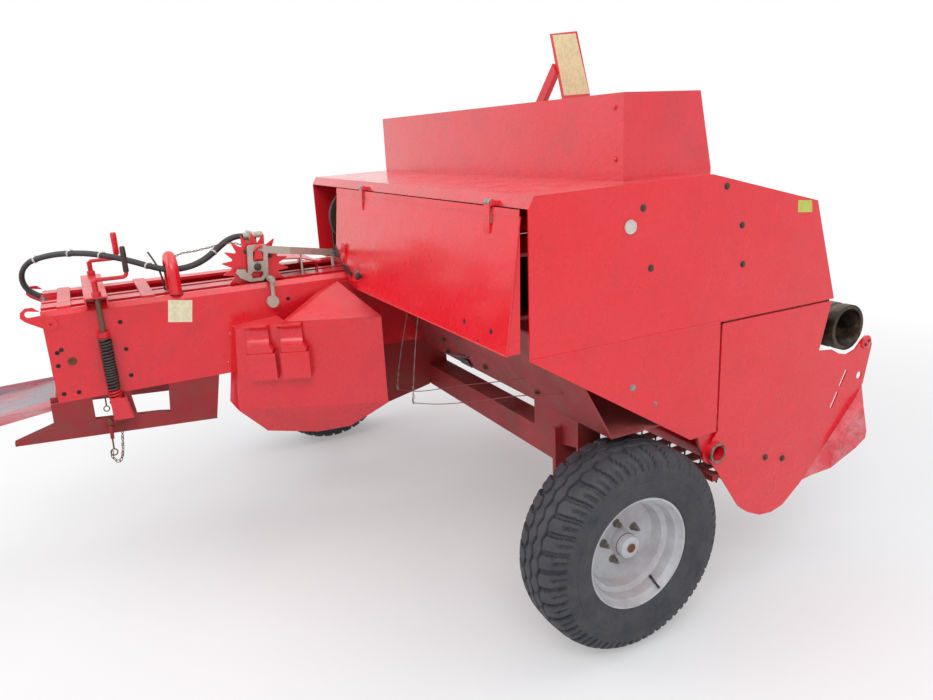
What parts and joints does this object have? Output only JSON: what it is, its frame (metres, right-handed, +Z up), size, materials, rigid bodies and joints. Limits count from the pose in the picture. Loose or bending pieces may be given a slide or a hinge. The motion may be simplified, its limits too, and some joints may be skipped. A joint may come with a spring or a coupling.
{
  "type": "square baler",
  "caption": "Towed square baler with a side pick-up under a hood, a long bale channel with tension gear, twine knotter bay, swinging drawbar and jack.",
  "frame": {"origin": "on the ground under the middle of the overall box", "axes": "+Y is the way it is towed, +X is the machine's right side, +Z is up"},
  "size_m": [2.78, 5.3998, 2.23],
  "materials": {
    "red_paint": "bright red gloss, dusty and chipped",
    "dark_red": "darker red, stained with grease",
    "worn_sheet": "red paint worn to bare blue-grey metal",
    "silver_rim": "silver grey, dusty",
    "dark_steel": "oily dark steel with rust",
    "bare_steel": "dull grey with light rust",
    "spring_steel": "black, worn",
    "tyre": "bluish dark grey rubber",
    "grey_paint": "light grey-green, chipped",
    "hose_rubber": "black rubber hose, dusty"
  },
  "bodies": {
    "frame": {"chamber_right_wall": "red_paint", "chamber_left_wall": "red_paint", "chamber_floor": "dark_red", "chamber_top_rails": "red_paint", "tension_frame": "red_paint", "tension_rods": "spring_steel", "tension_rail": "dark_red", "hose_bow": "red_paint", "hose_a": "hose_rubber", "hose_b": "hose_rubber", "knotter_stack": "dark_steel", "knotter_cover": "red_paint", "trip_linkage": "grey_paint", "needle_guard": "red_paint", "wheel_chocks": "red_paint", "feed_trough": "dark_red", "hood_roof": "red_paint", "hood_side_upper": "red_paint", "hood_side_lower": "red_paint", "hood_left_side": "red_paint", "hood_front": "red_paint", "cover_box": "red_paint", "guard_post": "red_paint", "axle": "red_paint", "gearbox": "dark_steel", "front_frame": "red_paint", "drum_shaft": "dark_steel", "pickup_hangers": "red_paint"},
    "wheel_right": {"tyre_right": "tyre", "rim_right": "silver_rim"},
    "wheel_left": {"tyre_left": "tyre", "rim_left": "silver_rim"},
    "flap": {"rear_flap": "red_paint"},
    "chute": {"chute": "worn_sheet"},
    "star_wheel": {"star_wheel": "red_paint"},
    "pickup": {"pickup_side_right": "red_paint", "pickup_side_left": "red_paint", "pickup_strippers": "dark_red", "pickup_divider": "worn_sheet", "pickup_tube": "red_paint"},
    "reel": {"reel": "dark_steel"},
    "flywheel": {"flywheel": "dark_steel"},
    "drum": {"drive_drum": "dark_steel"},
    "drawbar": {"drawbar": "red_paint"},
    "jack": {"jack": "bare_steel"}
  },
  "joints": [
    {"name": "wheel_right_spin", "type": "hinge", "parent": "frame", "child": "wheel_right", "pos_m": [1.258, -0.55, 0.38], "axis": [1, 0, 0], "continuous": true},
    {"name": "wheel_left_spin", "type": "hinge", "parent": "frame", "child": "wheel_left", "pos_m": [-1.258, -0.85, 0.38], "axis": [1, 0, 0], "continuous": true},
    {"name": "flap_hinge", "type": "hinge", "parent": "frame", "child": "flap", "pos_m": [0.49, -0.94, 1.592], "axis": [-1, 0, 0], "range_deg": [0, 80]},
    {"name": "chute_hinge", "type": "hinge", "parent": "frame", "child": "chute", "pos_m": [-0.456, -2.272, 0.812], "axis": [-1, 0, 0], "range_deg": [0, 88]},
    {"name": "star_spin", "type": "hinge", "parent": "frame", "child": "star_wheel", "pos_m": [-0.253, -1.393, 1.277], "axis": [1, 0, 0], "continuous": true},
    {"name": "pickup_lift", "type": "hinge", "parent": "frame", "child": "pickup", "pos_m": [0.59, -0.137, 0.631], "axis": [-1, 0, 0], "range_deg": [0, 16]},
    {"name": "reel_spin", "type": "hinge", "parent": "pickup", "child": "reel", "pos_m": [0.59, 0.178, 0.54], "axis": [1, 0, 0], "continuous": true},
    {"name": "flywheel_spin", "type": "hinge", "parent": "frame", "child": "flywheel", "pos_m": [-0.456, 0.885, 1.015], "axis": [0, 1, 0], "continuous": true},
    {"name": "drum_spin", "type": "hinge", "parent": "frame", "child": "drum", "pos_m": [1.14, 0.575, 0.985], "axis": [1, 0, 0], "continuous": true},
    {"name": "drawbar_swing", "type": "hinge", "parent": "frame", "child": "drawbar", "pos_m": [-0.456, 0.87, 0.56], "axis": [0, 0, 1], "range_deg": [-20, 20]},
    {"name": "jack_fold", "type": "hinge", "parent": "drawbar", "child": "jack", "pos_m": [-0.34, 2.01, 0.56], "axis": [-1, 0, 0], "range_deg": [0, 90]}
  ]
}
